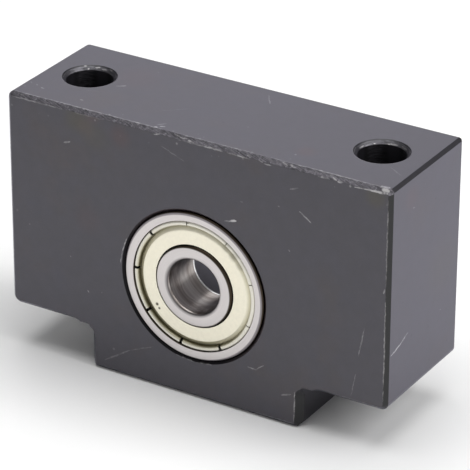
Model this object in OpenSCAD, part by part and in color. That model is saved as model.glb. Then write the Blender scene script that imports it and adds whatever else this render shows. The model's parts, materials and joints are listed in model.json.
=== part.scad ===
// End support for the floating end of a ball screw: a blackened steel block that carries
// one shielded deep groove ball bearing. Millimetres. X runs along the mounting face,
// Y along the screw axis (front face at -Y) and Z up. The block stands on its narrow nose,
// with the mounting face on top, and the origin is at the middle of its foot print.

/* [Housing] */
// Width of the block, along the mounting face
body_w = 60; // [58:1:72]
// Thickness of the block, along the screw axis
body_t = 20; // [17:1:26]
// Height of the block, from the nose to the mounting face
body_h = 39; // [37:1:46]
// Height of the wide part, from the shoulders to the mounting face
wide_h = 32.5; // [30:0.5:35]
// Width of the narrow nose below the shoulders
nose_w = 34; // [28:1:34]
// Distance from the screw axis to the mounting face
axis_h = 22; // [20:0.5:24]

/* [Edges] */
// Chamfer round the front face
front_chamfer = 0.55; // [0.3:0.05:0.9]
// Chamfer round the rear face
rear_chamfer = 0.85; // [0.3:0.05:0.9]
// Chamfer on the block's outer edges that run along the screw axis
side_chamfer = 0.45; // [0.2:0.05:0.8]
// Chamfer on the upright edges of the nose
nose_chamfer = 1; // [0.3:0.05:1.2]
// Chamfer on the lower edges of the nose, along the screw axis
foot_chamfer = 0.8; // [0.2:0.05:1]
// Fillet in the inner corners, where the nose meets the shoulders
corner_fillet = 0.4; // [0.2:0.1:0.6]
// Radius of the tool that chamfers the shoulders, whose cuts run out before the nose
tool_r = 2; // [1:0.25:2.5]
// Distance that this tool keeps from the nose
tool_gap = 0.6; // [0.2:0.1:1]
// Radius of the tool that chamfers the nose, whose cuts run out before the shoulders
nose_tool_r = 0.7; // [0.5:0.1:1]
// Distance that this tool keeps from the shoulders
nose_tool_gap = 0.1; // [0.1:0.1:0.5]

/* [Mounting holes] */
// Distance between the two mounting holes
bolt_pitch = 46; // [44:0.5:48]
// Diameter of the mounting holes
bolt_d = 6.6; // [5.5:0.1:7]
// Chamfer at the mouth of each mounting hole
bolt_chamfer = 0.55; // [0.2:0.05:0.8]
// Diameter of the counterbores for the screw heads
head_d = 10.8; // [9:0.1:11]
// Depth of the counterbores, from the shoulders
head_depth = 5; // [3:0.5:8]

/* [Bearing seat] */
// How far the bearing lies below the front face
bearing_recess = 0.05; // [0:0.05:1]
// Chamfer at the mouth of the seat
seat_chamfer = 0.47; // [0.1:0.01:0.8]
// Diameter of the clearance bore behind the bearing
rear_bore_d = 19; // [17:0.5:20]
// Chamfer at the rear mouth of the clearance bore
rear_bore_chamfer = 0.4; // [0.2:0.1:0.8]

/* [Bearing] */
// Outer diameter of the bearing
bearing_od = 22; // [21.6:0.1:24]
// Bore of the bearing
bearing_id = 8; // [6:0.5:9]
// Width of the bearing
bearing_w = 7; // [6.8:0.1:8]
// Diameter of the balls
ball_d = 3.969; // [3.7:0.001:4]
// Diameter of the circle through the ball centres
pitch_d = 15; // [14.8:0.1:15.2]
// Gap between a ball and the bottom of each raceway
ball_gap = 0.015; // [0.005:0.005:0.03]
// Depth of the raceways
race_depth = 0.5; // [0.4:0.05:0.6]
// Raceway radius over ball diameter
race_ratio = 0.52; // [0.515:0.005:0.53]
// Corner chamfer of the outer ring, where it meets its seat
ring_chamfer = 0.2; // [0.1:0.01:0.3]
// Corner chamfer of the inner ring, at the mouths of its bore
bore_chamfer = 0.32; // [0.1:0.01:0.4]
// Chamfer on the land of the inner ring, next to the shield
land_chamfer = 0.25; // [0.1:0.05:0.3]

/* [Shields] */
// Sheet thickness of the shields
shield_t = 0.2; // [0.15:0.01:0.25]
// How far the disc of a shield lies below the ring faces
shield_recess = 0.42; // [0.3:0.01:0.45]
// How far the rim of a shield lies below the ring faces
rim_recess = 0.16; // [0.1:0.01:0.25]
// Gap between a shield and the inner ring
shield_gap = 0.17; // [0.1:0.01:0.3]
// Depth of the pressed channel below the disc
channel_depth = 0.28; // [0.24:0.01:0.32]
// Width of the channel at its bottom, between the sheet's middle lines
channel_w = 0.14; // [0.13:0.01:0.3]
// Run of the slope from the disc down into the channel, along the radius
disc_run = 0.6; // [0.3:0.01:0.7]
// Width of the rim outside the channel, between the sheet's middle lines
rim_w = 0.46; // [0.4:0.01:0.6]
// Run of the channel's outer wall along the radius
wall_run = 0.12; // [0.1:0.01:0.16]
// Gap that a shield keeps from the seat wall and the seat floor
shield_fit = 0.03; // [0.01:0.01:0.05]
// Step from the outer ring's land out to the shield seat
seat_step = 0.62; // [0.6:0.01:0.7]
// Depth of the shield seat below the ring face
seat_depth = 0.97; // [0.95:0.01:1.1]
// Number of slits in the rim
slit_n = 9; // [6:1:12]
// Width of a slit
slit_w = 0.45; // [0.2:0.01:0.5]
// Turn of the first slit of the front shield
slit_turn = -23; // [-40:1:0]

/* [Cage] */
// Sheet thickness of the cage
cage_t = 0.3; // [0.2:0.01:0.32]
// Width of the cage ribbon, measured radially
cage_w = 1.9; // [1.6:0.05:2.1]
// Gap between a ball and its pocket
pocket_gap = 0.06; // [0.04:0.01:0.1]
// Shank diameter of the cage rivets
rivet_d = 0.6; // [0.5:0.05:0.7]
// Head diameter of the cage rivets
rivet_head_d = 1; // [0.9:0.05:1.1]
// Head height of the cage rivets
rivet_head_h = 0.22; // [0.15:0.01:0.3]
// Gap round a rivet's shank
rivet_gap = 0.02; // [0.01:0.01:0.03]

/* [Hidden] */
$fn = 96;
// Overrun of every cutter past the face that it opens
over = 0.1;
// Points on each rounded bend of the sheet sections
bend_steps = 5;

// Heights
shoulder_z = body_h - wide_h;
axis_z = body_h - axis_h;

// Bearing, in its own frame: axis along Z, front face at +Z, centre at the origin
bearing_r = bearing_od / 2;
shaft_r = bearing_id / 2;
half_w = bearing_w / 2;
ball_r = ball_d / 2;
pitch_r = pitch_d / 2;
race_r = ball_d * race_ratio;
inner_race_r = pitch_r - ball_r - ball_gap;
outer_race_r = pitch_r + ball_r + ball_gap;
inner_land_r = inner_race_r + race_depth;
outer_land_r = outer_race_r - race_depth;
bearing_y = -body_t / 2 + bearing_recess + half_w;
// Number of balls, each in a node of its own
ball_n = 7;
ball_step = 360 / ball_n;
first_ball = 90;

// Shield seat in the outer ring, with the groove that holds the rim
seat_r = outer_land_r + seat_step;
groove_step = 0.16;
groove_w = 0.28;
seat_mouth = 0.04;

// Middle line of a shield's sheet, as radius and depth below the ring face
shield_bore_r = inner_land_r + shield_gap;
disc_mid = shield_recess + shield_t / 2;
channel_mid = disc_mid + channel_depth;
rim_mid = rim_recess + shield_t / 2;
rim_outer_r = seat_r - shield_fit - shield_t / 2;
rim_inner_r = rim_outer_r - rim_w;
hook_mid = seat_depth - shield_fit - shield_t / 2;
hook_reach = 0.1;
// Bend radius of the middle line, which leaves a small inside radius
bend_r = shield_t / 2 + 0.02;

// Cage
pocket_r = ball_r + pocket_gap;
cage_inner_r = pitch_r - cage_w / 2;
cage_outer_r = pitch_r + cage_w / 2;

// ---- Sheet sections ----

function unit(v) = v / norm(v);
function quarter_turn(v) = [-v[1], v[0]];

// Points of the arc of radius r that rounds the corner b between a and c
function bend(a, b, c, r) =
    let (
        u = unit(a - b),
        v = unit(c - b),
        half = acos(u * v) / 2,
        centre = b + unit(u + v) * r / sin(half),
        p = b + u * r / tan(half) - centre,
        q = b + v * r / tan(half) - centre,
        start = atan2(p[1], p[0]),
        sweep = sign(cross(p, q)) * (180 - 2 * half)
    )
    [for (i = [0:bend_steps])
        let (turn = start + sweep * i / bend_steps)
        centre + r * [cos(turn), sin(turn)]];

// The open path through pts, with each inner corner rounded to radius r
function rounded(pts, r) = [
    pts[0],
    for (i = [1:len(pts) - 2]) each bend(pts[i - 1], pts[i], pts[i + 1], r),
    pts[len(pts) - 1]
];

// Normal of a path at its point i
function path_normal(path, i) =
    quarter_turn(unit(path[min(i + 1, len(path) - 1)] - path[max(i - 1, 0)]));

// Outline of a sheet of thickness t whose middle line is the path
function sheet(path, t) = concat(
    [for (i = [0:len(path) - 1]) path[i] + path_normal(path, i) * t / 2],
    [for (i = [len(path) - 1:-1:0]) path[i] - path_normal(path, i) * t / 2]
);

// ---- Housing ----

// Outline of the housing across the screw axis, with its height along Y
module housing_outline() {
    c = side_chamfer;
    half = [
        [nose_w / 2 - foot_chamfer, 0],
        [nose_w / 2, foot_chamfer],
        [nose_w / 2, shoulder_z],
        [body_w / 2 - c, shoulder_z],
        [body_w / 2, shoulder_z + c],
        [body_w / 2, body_h - c],
        [body_w / 2 - c, body_h]
    ];
    polygon(concat(half, [for (i = [len(half) - 1:-1:0]) [-half[i][0], half[i][1]]]));
    for (side = [0, 1]) mirror([side, 0]) inner_fillet();
}

// Web that rounds the inner corner between the nose and a shoulder
module inner_fillet() {
    difference() {
        translate([nose_w / 2 - over, shoulder_z - corner_fillet])
            square(corner_fillet + over);
        translate([nose_w / 2 + corner_fillet, shoulder_z - corner_fillet])
            circle(r = corner_fillet);
    }
}

// Puts a drawing in the XY plane, with its depth along Z, into the block: the drawing
// stands upright, its z = 0 is the rear face and z = body_t the front face
module upright() {
    translate([0, body_t / 2, 0]) rotate([90, 0, 0]) children();
}

// Wedge that chamfers the edge from p to q of a face at z = 0, for material above the
// edge's left side; the ends of the wedge reach past p and q by the overruns
module edge_wedge(p, q, c, before, after) {
    translate(p)
        rotate(atan2(q[1] - p[1], q[0] - p[0]))
        translate([-before, 0, 0])
        rotate([90, 0, 90])
        linear_extrude(norm(q - p) + before + after)
        polygon([[-over, -over], [c + over, -over], [-over, c + over]]);
}

// End of a chamfer cut: the cone of a tool of radius r that stands at p
module tool_cone(p, r, c) {
    translate([p[0], p[1], -over])
        cylinder(r1 = r + c + over, r2 = r - over, h = c + 2 * over);
}

// Chamfer cuts round a face at z = 0, with a run-out at each inner corner
module face_chamfer(c) {
    stop_x = nose_w / 2 + tool_gap + tool_r + c;
    stop_z = shoulder_z - nose_tool_gap - nose_tool_r - nose_chamfer;
    edge_wedge([-nose_w / 2, 0], [nose_w / 2, 0], c, over, over);
    edge_wedge([body_w / 2, body_h], [-body_w / 2, body_h], c, over, over);
    for (side = [0, 1]) mirror([side, 0, 0]) {
        edge_wedge([body_w / 2, shoulder_z], [body_w / 2, body_h], c, over, over);
        edge_wedge([stop_x, shoulder_z], [body_w / 2, shoulder_z], c, 0, over);
        tool_cone([stop_x, shoulder_z - tool_r], tool_r, c);
        edge_wedge([nose_w / 2, 0], [nose_w / 2, stop_z], nose_chamfer, over, 0);
        tool_cone([nose_w / 2 + nose_tool_r, stop_z], nose_tool_r, nose_chamfer);
    }
}

// A mounting hole: chamfered mouth in the mounting face, counterbore in the shoulder
module mounting_hole() {
    cylinder(d = bolt_d, h = body_h + over);
    translate([0, 0, body_h - bolt_chamfer])
        cylinder(d1 = bolt_d, d2 = bolt_d + 2 * (bolt_chamfer + over), h = bolt_chamfer + over);
    cylinder(d = head_d, h = shoulder_z + head_depth);
}

// Puts the bearing's own frame in place: +Z of it points out of the front face
module in_bearing_frame() {
    translate([0, bearing_y, axis_z]) rotate([90, 0, 0]) children();
}

// Everything bored out along the screw axis
module bearing_bore() {
    mouth = half_w + bearing_recess;
    rear = mouth - body_t;
    in_bearing_frame() {
        translate([0, 0, -half_w]) cylinder(r = bearing_r, h = mouth + half_w + over);
        translate([0, 0, mouth - seat_chamfer])
            cylinder(r1 = bearing_r, r2 = bearing_r + seat_chamfer + over, h = seat_chamfer + over);
        translate([0, 0, rear - over]) cylinder(d = rear_bore_d, h = body_t);
        translate([0, 0, rear - over])
            cylinder(
                d1 = rear_bore_d + 2 * (rear_bore_chamfer + over),
                d2 = rear_bore_d,
                h = rear_bore_chamfer + over
            );
    }
}

module housing() {
    color([0.29, 0.29, 0.31])
    difference() {
        upright() linear_extrude(body_t) housing_outline();
        upright() face_chamfer(rear_chamfer);
        mirror([0, 1, 0]) upright() face_chamfer(front_chamfer);
        for (side = [-1, 1]) translate([side * bolt_pitch / 2, 0, 0]) mounting_hole();
        bearing_bore();
    }
}

// ---- Bearing rings ----

// Section of the upper half of the outer ring, from its land to its outside
function outer_half() = [
    [outer_land_r, half_w - seat_depth],
    [seat_r + groove_step, half_w - seat_depth],
    [seat_r + groove_step, half_w - seat_depth + groove_w],
    [seat_r, half_w - seat_depth + groove_w + groove_step],
    [seat_r, half_w - seat_mouth],
    [seat_r + seat_mouth, half_w],
    [bearing_r - ring_chamfer, half_w],
    [bearing_r, half_w - ring_chamfer]
];

// Section of the upper half of the inner ring, from its land to its bore
function inner_half() = [
    [inner_land_r, half_w - land_chamfer],
    [inner_land_r - land_chamfer, half_w],
    [shaft_r + bore_chamfer, half_w],
    [shaft_r, half_w - bore_chamfer]
];

// A ring from the upper half of its section, with a raceway round centre radius r
module ring(half, r) {
    below = [for (i = [len(half) - 1:-1:0]) [half[i][0], -half[i][1]]];
    rotate_extrude() difference() {
        polygon(concat(half, below));
        translate([r, 0]) circle(r = race_r);
    }
}

module outer_ring() {
    color([0.8, 0.78, 0.8]) in_bearing_frame() ring(outer_half(), outer_race_r - race_r);
}

module inner_ring() {
    color([0.78, 0.76, 0.78]) in_bearing_frame() ring(inner_half(), inner_race_r + race_r);
}

// ---- Shields ----

// Middle line of a shield's section, from its bore out to the hook in the groove
function shield_path() = [
    [shield_bore_r, disc_mid],
    [rim_inner_r - channel_w - wall_run - disc_run, disc_mid],
    [rim_inner_r - channel_w - wall_run, channel_mid],
    [rim_inner_r - wall_run, channel_mid],
    [rim_inner_r, rim_mid],
    [rim_outer_r, rim_mid],
    [rim_outer_r, hook_mid - hook_reach],
    [rim_outer_r + hook_reach, hook_mid]
];

// A shield that faces up, with its slits turned by the angle
module shield(turn) {
    difference() {
        translate([0, 0, half_w]) mirror([0, 0, 1])
            rotate_extrude() polygon(sheet(rounded(shield_path(), bend_r), shield_t));
        for (i = [0:slit_n - 1])
            rotate(turn + i * 360 / slit_n)
            translate([rim_inner_r - shield_t / 2, -slit_w / 2, half_w - seat_depth])
            cube([rim_w + shield_t + hook_reach, slit_w, seat_depth]);
    }
}

module front_shield() {
    color([0.86, 0.84, 0.74]) in_bearing_frame() shield(slit_turn);
}

module rear_shield() {
    color([0.86, 0.84, 0.74]) in_bearing_frame() mirror([0, 0, 1]) shield(slit_turn);
}

// ---- Cage and balls ----

// Puts its children at the place of ball i, or midway between two balls for half steps
module at_place(i) {
    rotate(first_ball + i * ball_step) translate([pitch_r, 0, 0]) children();
}

// The upper half of the ribbon cage: flat lands with a round pocket over each ball
module cage_half() {
    difference() {
        intersection() {
            union() {
                cylinder(r = cage_outer_r, h = cage_t);
                for (i = [0:ball_n - 1]) at_place(i) sphere(r = pocket_r + cage_t);
            }
            difference() {
                cylinder(r = cage_outer_r, h = half_w);
                translate([0, 0, -over]) cylinder(r = cage_inner_r, h = half_w + 2 * over);
            }
        }
        for (i = [0:ball_n - 1]) {
            at_place(i) sphere(r = pocket_r);
            at_place(i + 0.5) translate([0, 0, -over])
                cylinder(d = rivet_d + 2 * rivet_gap, h = cage_t + 2 * over);
        }
    }
}

module front_cage_half() {
    color([0.72, 0.72, 0.74]) in_bearing_frame() cage_half();
}

module rear_cage_half() {
    color([0.72, 0.72, 0.74]) in_bearing_frame() mirror([0, 0, 1]) cage_half();
}

// Section of a domed rivet head of radius r and height h, standing on z = 0
module rivet_head(r, h) {
    dome_r = (r * r + h * h) / (2 * h);
    rotate_extrude() intersection() {
        translate([0, h - dome_r]) circle(r = dome_r);
        square([r, h]);
    }
}

// One rivet across both cage lands, with a head at each end
module rivet() {
    cylinder(d = rivet_d, h = 2 * cage_t, center = true);
    for (end = [0, 1]) mirror([0, 0, end]) translate([0, 0, cage_t])
        rivet_head(rivet_head_d / 2, rivet_head_h);
}

module cage_rivets() {
    color([0.75, 0.75, 0.77]) in_bearing_frame()
        for (i = [0:ball_n - 1]) at_place(i + 0.5) rivet();
}

module ball(i) {
    color([0.85, 0.85, 0.87]) in_bearing_frame() at_place(i) sphere(r = ball_r);
}

housing();
outer_ring();
inner_ring();
front_shield();
rear_shield();
front_cage_half();
rear_cage_half();
cage_rivets();
for (i = [0:ball_n - 1])
    ball(i);
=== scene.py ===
"""Looks of a ball screw end support: a blackened steel block that carries one shielded ball bearing."""

import json
import math

import bmesh
import bpy
import numpy as np
from bpy.props import FloatProperty, FloatVectorProperty, IntProperty, PointerProperty
from mathutils import Matrix, Vector


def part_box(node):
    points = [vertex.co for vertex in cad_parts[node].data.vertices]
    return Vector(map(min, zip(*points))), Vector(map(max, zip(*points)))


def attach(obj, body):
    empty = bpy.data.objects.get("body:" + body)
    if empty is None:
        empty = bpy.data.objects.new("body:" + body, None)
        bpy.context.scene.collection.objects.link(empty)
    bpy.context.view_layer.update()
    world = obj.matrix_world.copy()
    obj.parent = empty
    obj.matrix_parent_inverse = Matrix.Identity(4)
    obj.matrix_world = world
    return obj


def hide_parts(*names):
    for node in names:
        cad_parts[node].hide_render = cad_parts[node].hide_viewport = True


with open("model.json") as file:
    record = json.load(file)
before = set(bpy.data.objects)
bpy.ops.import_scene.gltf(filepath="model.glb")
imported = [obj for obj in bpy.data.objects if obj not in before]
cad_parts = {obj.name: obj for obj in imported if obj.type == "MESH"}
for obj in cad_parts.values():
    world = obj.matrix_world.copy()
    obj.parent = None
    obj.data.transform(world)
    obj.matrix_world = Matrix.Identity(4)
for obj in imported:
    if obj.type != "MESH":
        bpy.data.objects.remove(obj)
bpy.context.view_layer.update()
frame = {"nodes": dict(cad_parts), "record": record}

bl_info = {
    "name": "Ball Screw End Support",
    "version": (1, 0, 0),
    "blender": (4, 5, 0),
    "location": "View3D > Sidebar > End Support",
    "description": "Finishes, bearing parts and studio of a ball screw end support",
    "category": "Object",
}

MM = 0.001
BLOCK_LOW, BLOCK_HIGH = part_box("housing")
MOUNTS = {mount["name"]: mount for mount in frame["record"]["mounts"]}

# Bearing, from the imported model: its centre on the screw axis, and the sizes of its rings and balls
BEARING = Vector(MOUNTS["shaft_bore"]["pos_m"])
BORE_R = MOUNTS["shaft_bore"]["dims"]["r_mm"] * MM
RING_LOW, RING_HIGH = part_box("outer_ring")
RING_R = (RING_HIGH.x - RING_LOW.x) / 2
RING_W = RING_HIGH.y - RING_LOW.y
LAND_LOW, LAND_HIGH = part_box("inner_ring")
LAND_R = (LAND_HIGH.x - LAND_LOW.x) / 2
BALL_LOW, BALL_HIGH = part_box("ball_1")
BALL_R = (BALL_HIGH.y - BALL_LOW.y) / 2
PITCH_R = ((BALL_LOW + BALL_HIGH) / 2 - BEARING).length

FRONT_CHAMFER = 0.55  # round the block's front face, in millimetres
# Steps of the curves: round a ring, along a raceway, round a corner, and from slit to slit of a shield
RING_STEPS, RACE_STEPS, CORNER_STEPS, SLIT_STEPS = 192, 25, 9, 40
RACE_SHARE = 0.52  # a raceway's radius as a share of the ball's diameter
SHIELD_BENDS = [0.8, 0.12, 0.12, 0.17, 0.2, 0.12]  # radii of the shields' bends in millimetres, disc to hook


# ---- Colours ----


def linear(hex_colour):
    """Turns an sRGB hex colour into linear red, green, blue and alpha: the sRGB curve undone per channel."""
    srgb = np.array([int(hex_colour[i : i + 2], 16) for i in (1, 3, 5)]) / 255
    curve = np.where(srgb <= 0.04045, srgb / 12.92, ((srgb + 0.055) / 1.055) ** 2.4)
    return (*curve.tolist(), 1.0)


# ---- Shapes ----


def unit(vectors):
    """Each row over its own length."""
    return vectors / np.linalg.norm(vectors, axis=-1, keepdims=True)


def rounded(corners, radii, steps=6):
    """Closed outline through the corners, each replaced by an arc of its radius.
    With u and v the unit vectors to the neighbours and a half the angle between them, the arc's centre lies
    r / sin(a) along u + v, and its points go from one tangent point to the other by spherical interpolation.
    """
    corners = np.asarray(corners, float)
    radii = np.broadcast_to(np.asarray(radii, float), len(corners))[:, None]
    u = unit(np.roll(corners, 1, axis=0) - corners)
    v = unit(np.roll(corners, -1, axis=0) - corners)
    half = np.arccos(np.clip((u * v).sum(1), -1, 1))[:, None] / 2
    centre = corners + unit(u + v) * radii / np.sin(half)
    start = corners + u * radii / np.tan(half) - centre
    end = corners + v * radii / np.tan(half) - centre
    sweep = math.pi - 2 * half
    t = np.linspace(0, 1, steps)[None, :]
    first = (np.sin((1 - t) * sweep) / np.sin(sweep))[..., None]
    last = (np.sin(t * sweep) / np.sin(sweep))[..., None]
    points = (centre[:, None] + first * start[:, None] + last * end[:, None]).reshape(-1, 2)
    return points[np.linalg.norm(points - np.roll(points, 1, axis=0), axis=1) > 1e-8]


def grid_quads(rows, columns, wrap_rows=False, wrap_columns=False):
    """Quads of a grid of rows by columns points, joined end to start where a direction wraps."""
    i = np.arange(rows if wrap_rows else rows - 1)[:, None]
    j = np.arange(columns if wrap_columns else columns - 1)[None, :]
    below, beside = (i + 1) % rows, (j + 1) % columns
    quads = [i * columns + j, i * columns + beside, below * columns + beside, below * columns + j]
    return np.stack([np.broadcast_to(q, (i.size, j.size)) for q in quads], axis=-1).reshape(-1, 4)


def new_object(name, data):
    """A new object in the scene that holds the data."""
    thing = bpy.data.objects.new(name, data)
    bpy.context.scene.collection.objects.link(thing)
    return thing


def apply_modifiers(piece):
    """Gives the piece the mesh that its modifiers make."""
    graph = bpy.context.evaluated_depsgraph_get()
    piece.data = bpy.data.meshes.new_from_object(piece.evaluated_get(graph))
    piece.modifiers.clear()


def make_piece(name, points, quads, body, material):
    """Puts points in metres and quads into a mesh at the origin, and lets its object ride a body."""
    mesh = bpy.data.meshes.new(name)
    mesh.from_pydata(np.asarray(points, float).tolist(), [], np.asarray(quads).tolist())
    mesh.materials.append(material)
    mesh.shade_smooth()
    mesh.update()
    piece = new_object(name, mesh)
    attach(piece, body)
    return piece


def turned(profile, turns):
    """Points of a surface of revolution about the screw axis: for each turn t, a profile point at radius r
    and depth d behind the bearing's front face becomes (r cos t, front + d, r sin t) from its centre."""
    r, d = profile.T
    cos, sin = np.cos(turns)[:, None], np.sin(turns)[:, None]
    depth = np.broadcast_to(RING_LOW.y + d, (len(turns), len(profile)))
    return np.stack([BEARING.x + r * cos, depth, BEARING.z + r * sin], axis=-1).reshape(-1, 3)


def turned_ring(outline):
    """Closed ring whose section is the outline: rows of radius, depth and the rounding of that corner."""
    section = rounded(outline[:, :2], outline[:, 2])
    points = turned(section, np.arange(RING_STEPS) * 2 * math.pi / RING_STEPS)
    return points, grid_quads(RING_STEPS, len(section), True, True)


# ---- Sizes and colours that a user would change ----


def size(name, description, millimetres):
    """A length property with its default given in millimetres."""
    return FloatProperty(
        name=name, description=description, default=millimetres * MM, unit="LENGTH", precision=6
    )


def angle(name, description, degrees):
    """An angle property with its default given in degrees."""
    return FloatProperty(name=name, description=description, default=math.radians(degrees), subtype="ANGLE")


def power(name, description, watts):
    """A power property with its default given in watts."""
    return FloatProperty(name=name, description=description, default=watts, subtype="POWER")


def strength(name, description, factor):
    """A strength property: a factor without a unit."""
    return FloatProperty(name=name, description=description, default=factor, min=0)


def colour(name, description, hex_colour):
    """A colour property with its default given as an sRGB hex value."""
    return FloatVectorProperty(
        name=name, description=description, default=linear(hex_colour), size=4, subtype="COLOR", min=0, max=1
    )


class EndSupportBlock(bpy.types.PropertyGroup):
    """Finish of the block."""

    edge_round: size("Edge rounding", "Width of the deburred edges", 0.08)
    corner_round: size("Corner rounding", "Radius of the outline's rounded outer corners", 1.1)
    chamfer: size("Front chamfer", "Chamfer round the front face", FRONT_CHAMFER)
    rear_chamfer: size("Rear chamfer", "Chamfer round the rear face", 0.85)
    bolt_pitch: size("Hole distance", "Distance between the mounting holes", 46.0)
    bolt_r: size("Hole radius", "Radius of the mounting holes", 3.3)
    shoulder_z: size("Shoulder height", "Height of the shoulders above the nose's foot", 6.5)
    oxide: colour("Oxide", "Blackened steel", "#434148")
    oxide_cool: colour("Cool oxide", "Bluish patches of the blackened steel", "#41414d")
    oxide_warm: colour("Warm oxide", "Brownish patches of the blackened steel", "#4b423f")
    cut_oxide: colour("Cut oxide", "Blackened steel on the finer cut chamfers", "#26252a")
    # Painted shade, darkest: the upright chamfers, by the way they face
    upright_painted_shade: colour("Upright oxide", "Blackened steel on the upright chamfers", "#101012")
    passage: colour("Passage", "Machined walls of the passage behind the bearing", "#5c5a62")
    mouth: colour("Hole mouths", "Ridges left by the countersink at the mounting holes", "#66646b")
    # Painted shade, lighter than on the upright chamfers: the chamfers along the top's sides, by the way they
    # face
    top_side_painted_shade: colour("Top side oxide", "Blackened steel on the chamfers along the top's sides", "#343238")
    # The chamfer of the bearing's seat: painted light on its upper right, painted shade near black on its
    # lower left
    seat_painted_light: colour("Seat oxide", "Blackened steel on the chamfer of the bearing's seat", "#55494c")
    seat_painted_shade: colour("Seat oil", "Caked oil on the lower left of the seat's chamfer", "#1a181b")
    # Painted highlight on the crests and crumbs of the rough chamfer, and painted shade in its valleys
    ridge_highlight: colour("Chatter", "Ridges left by the cutter on the rough chamfer", "#827f87")
    valley_shade: colour("Valleys", "Valleys between the ridges of the rough chamfer", "#3a383e")
    # Painted shade on the walls of the nose, under the shoulders
    nose_painted_shade: colour("Nose wall oxide", "Blackened steel on the milled walls of the nose", "#0b0b0d")
    stain_olive: colour("Olive stain", "Olive stains of the oxide", "#4a4638")
    stain_brown: colour("Brown stain", "Brownish stains of the oxide", "#544842")
    stain_red: colour("Red stain", "Reddish stains of the oxide", "#533f40")
    # Also the colour of the painted highlight on the front edges of the holes' mouths
    bare_and_highlight: colour("Bare steel", "Steel that shows through scratches and worn edges", "#b9b7b8")


class EndSupportBearing(bpy.types.PropertyGroup):
    """Sizes and finish of the bearing's rings."""

    seat_r: size("Shield seat", "Radius of the outer ring's front opening", 9.62)
    ring_land_r: size("Outer land", "Radius of the outer ring's land", 9.0)
    seat_depth: size("Shield seat depth", "Depth of the seat that a shield stands on", 0.97)
    groove_step: size("Groove step", "Depth of the groove that holds a shield", 0.16)
    groove_w: size("Groove width", "Width of the groove that holds a shield", 0.28)
    corner: size("Ring corner", "Rounding of the outer ring's corners", 0.22)
    seat_corner: size("Seat corner", "Rounding at the mouth of a shield's seat", 0.1)
    bore_corner: size("Bore corner", "Rounding at the front mouth of the inner ring's bore", 0.4)
    rear_corner: size("Rear bore corner", "Rounding at the rear mouth of the inner ring's bore", 0.6)
    land_corner: size("Land corner", "Rounding of the inner ring's outer corners", 0.28)
    race_gap: size("Race gap", "Gap between a ball and the bottom of a raceway", 0.015)
    steel: colour("Bearing steel", "Ground bearing steel", "#d1cccb")
    bore: colour("Bore", "Bore of the inner ring", "#efe8e3")
    # Painted reflection: the colour of the streaks in the bore
    bore_reflection_streak: colour("Bore stain", "Brownish streaks in the bore", "#b3a69f")
    # Painted shade at the bore's mouth, wider to the lower left
    bore_mouth_shade: colour("Bore edge", "Dull steel at the mouth of the bore", "#5f5b5c")
    # Painted shade on the outer ring's rounded edge, wider to the upper right
    edge: colour("Ring edge", "Duller steel at the outer ring's rounded edge", "#858083")
    # Painted shade in the gaps between the rings, the shields and the block
    gap_shade: colour("Grease", "Steel under dark grease in the gaps", "#40382f")
    cage: colour("Cage steel", "Pressed steel of the cage", "#a9a9ac")


class EndSupportShield(bpy.types.PropertyGroup):
    """Sizes and finish of the pressed shields."""

    sheet: size("Sheet", "Thickness of the shields", 0.2)
    gap: size("Gap", "Gap between a shield and the inner ring", 0.17)
    recess: size("Disc recess", "Depth of a shield's disc below the ring faces", 0.22)
    rim_recess: size("Rim recess", "Depth of a shield's rim below the ring faces", 0.01)
    channel_depth: size("Channel depth", "Depth of the channel below the disc", 0.28)
    channel_w: size("Channel width", "Width of the channel's bottom", 0.14)
    disc_run: size("Disc run", "Run of the slope from the disc down into the channel", 0.6)
    rim_w: size("Rim width", "Width of the rim outside the channel", 0.46)
    wall_run: size("Wall run", "Run of the channel's outer wall along the radius", 0.12)
    fit: size("Fit", "Gap between a shield and its seat", 0.03)
    hook: size("Hook", "Reach of the rim's hook into the groove", 0.1)
    slit_w: size("Slit width", "Width of the slits in the rim", 0.45)
    slit_thin: size("Thin slit width", "Width of the slits that the press left nearly closed", 0.14)
    thin_slits: IntProperty(name="Thin slits", description="Number of nearly closed slits", default=4, min=0)
    slits: IntProperty(name="Slits", description="Number of slits in the rim", default=9, min=1)
    slit_turn: angle("Slit turn", "Turn of the first slit", -23.2)
    plating: colour("Plating", "Zinc plated sheet", "#f4efdc")
    plating_shade: colour("Shaded plating", "Sheet on the slope into the channel", "#c3bda1")
    # Painted shade in the shield's channel: the three olive colours below and the colour at the foot of its
    # outer wall
    channel_shade: colour("Oil film", "Olive film where oil gathers on the sheet", "#67624c")
    slope_shade: colour("Slope oil film", "Olive film on the slope into the channel", "#a09a82")
    channel_floor_shade: colour("Thin oil film", "Olive film on the channel's bottom", "#cfcab4")
    wall_foot_shade: colour("Dust", "Dust settled along the foot of the channel's outer wall", "#a5a18f")
    # Also the colour of the painted shade spots in the shield's channel at the upper right
    dirt_and_shade: colour("Dirt", "Specks of dirt on the sheet", "#3d3829")
    rim: colour("Rim", "Plated sheet of the rim, dulled by handling", "#e4e1d5")


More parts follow.
